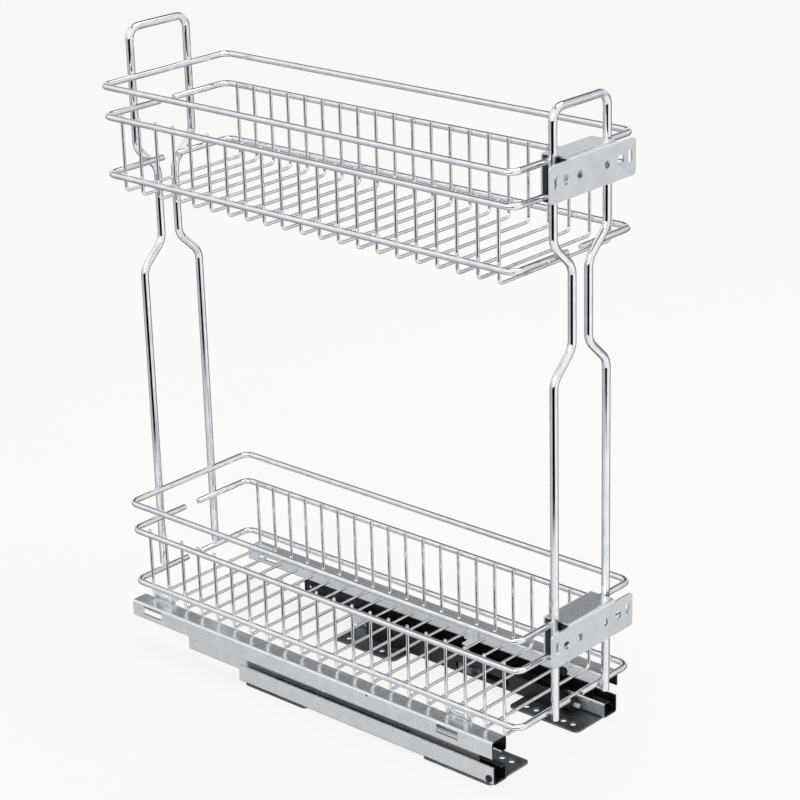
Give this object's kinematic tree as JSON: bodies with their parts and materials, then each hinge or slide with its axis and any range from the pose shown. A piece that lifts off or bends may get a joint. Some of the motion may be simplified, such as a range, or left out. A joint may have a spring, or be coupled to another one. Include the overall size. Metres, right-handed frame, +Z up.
{
  "type": "pull out cabinet basket",
  "caption": "Narrow two-tier wire basket on floor-mounted ball slides with door brackets and a soft-close unit.",
  "frame": {"origin": "on the cabinet floor, under the centre of the bounding box, slides closed", "axes": "+X right as seen from the door side, -Y towards the door (the basket pulls out along -Y), +Z up"},
  "size_m": [0.1708, 0.4893, 0.5763],
  "materials": {
    "bright_chrome": "bright nickel-chrome plate on bent steel wire",
    "zinc_plate": "satin bright zinc plate on folded steel sheet",
    "dark_zinc": "dull grey zinc plate on pressed steel",
    "ball_steel": "polished bearing steel",
    "black_plastic": "moulded glass-filled nylon, fine matt grain",
    "grey_plastic": "moulded acetal, smooth satin",
    "white_plastic": "moulded natural acetal, smooth satin",
    "black_rubber": "moulded rubber, matt"
  },
  "bodies": {
    "cabinet": {"left_cabinet_member": "zinc_plate", "right_cabinet_member": "zinc_plate", "left_front_foot": "dark_zinc", "right_front_foot": "dark_zinc", "left_rear_foot": "dark_zinc", "right_rear_foot": "dark_zinc", "foot_rivets": "zinc_plate", "front_stops": "black_rubber", "damper_housing": "black_plastic", "damper_tip": "white_plastic", "damper_cylinder": "ball_steel"},
    "carriage": {"lower_top_ring": "bright_chrome", "upper_top_ring": "bright_chrome", "lower_mid_rail_left": "bright_chrome", "lower_mid_rail_right": "bright_chrome", "upper_mid_rail_left": "bright_chrome", "upper_mid_rail_right": "bright_chrome", "lower_bottom_rail_left": "bright_chrome", "lower_bottom_rail_right": "bright_chrome", "upper_bottom_rail_left": "bright_chrome", "upper_bottom_rail_right": "bright_chrome", "lower_cross_wires": "bright_chrome", "upper_cross_wires": "bright_chrome", "front_upright": "bright_chrome", "rear_upright": "bright_chrome", "upper_door_bracket": "zinc_plate", "lower_door_bracket": "zinc_plate", "upper_bracket_liner": "black_plastic", "lower_bracket_liner": "black_plastic", "left_drawer_member": "zinc_plate", "right_drawer_member": "zinc_plate", "wire_hooks": "zinc_plate", "hook_rivets": "zinc_plate", "wall_plugs": "black_rubber", "striker": "zinc_plate"},
    "left_middle_slide": {"left_middle_member": "zinc_plate", "left_middle_rivets": "zinc_plate"},
    "right_middle_slide": {"right_middle_member": "zinc_plate", "right_middle_rivets": "zinc_plate"},
    "left_lower_retainer": {"left_lower_cage": "dark_zinc", "left_lower_balls": "ball_steel"},
    "right_lower_retainer": {"right_lower_cage": "dark_zinc", "right_lower_balls": "ball_steel"},
    "left_upper_retainer": {"left_upper_cage": "dark_zinc", "left_upper_balls": "ball_steel"},
    "right_upper_retainer": {"right_upper_cage": "dark_zinc", "right_upper_balls": "ball_steel"},
    "soft_close": {"soft_close_catch": "grey_plastic", "damper_rod": "ball_steel"}
  },
  "joints": [
    {"name": "carriage_slide", "type": "slide", "parent": "cabinet", "child": "carriage", "axis": [0, -1, 0], "range_m": [0, 0.4]},
    {"name": "left_middle_slide_joint", "type": "slide", "parent": "cabinet", "child": "left_middle_slide", "axis": [0, -1, 0], "range_m": [0, 0.2]},
    {"name": "right_middle_slide_joint", "type": "slide", "parent": "cabinet", "child": "right_middle_slide", "axis": [0, -1, 0], "range_m": [0, 0.2]},
    {"name": "left_lower_retainer_joint", "type": "slide", "parent": "cabinet", "child": "left_lower_retainer", "axis": [0, -1, 0], "range_m": [0, 0.1]},
    {"name": "right_lower_retainer_joint", "type": "slide", "parent": "cabinet", "child": "right_lower_retainer", "axis": [0, -1, 0], "range_m": [0, 0.1]},
    {"name": "left_upper_retainer_joint", "type": "slide", "parent": "cabinet", "child": "left_upper_retainer", "axis": [0, -1, 0], "range_m": [0, 0.3]},
    {"name": "right_upper_retainer_joint", "type": "slide", "parent": "cabinet", "child": "right_upper_retainer", "axis": [0, -1, 0], "range_m": [0, 0.3]},
    {"name": "soft_close_slide", "type": "slide", "parent": "cabinet", "child": "soft_close", "axis": [0, -1, 0], "range_m": [0, 0.035], "stiffness_N_per_m": 60, "springref_m": -0.01}
  ],
  "couplings": [
    {"joint": "left_middle_slide_joint", "follows": "carriage_slide", "ratio": 0.5},
    {"joint": "right_middle_slide_joint", "follows": "carriage_slide", "ratio": 0.5},
    {"joint": "left_lower_retainer_joint", "follows": "carriage_slide", "ratio": 0.25},
    {"joint": "right_lower_retainer_joint", "follows": "carriage_slide", "ratio": 0.25},
    {"joint": "left_upper_retainer_joint", "follows": "carriage_slide", "ratio": 0.75},
    {"joint": "right_upper_retainer_joint", "follows": "carriage_slide", "ratio": 0.75}
  ]
}
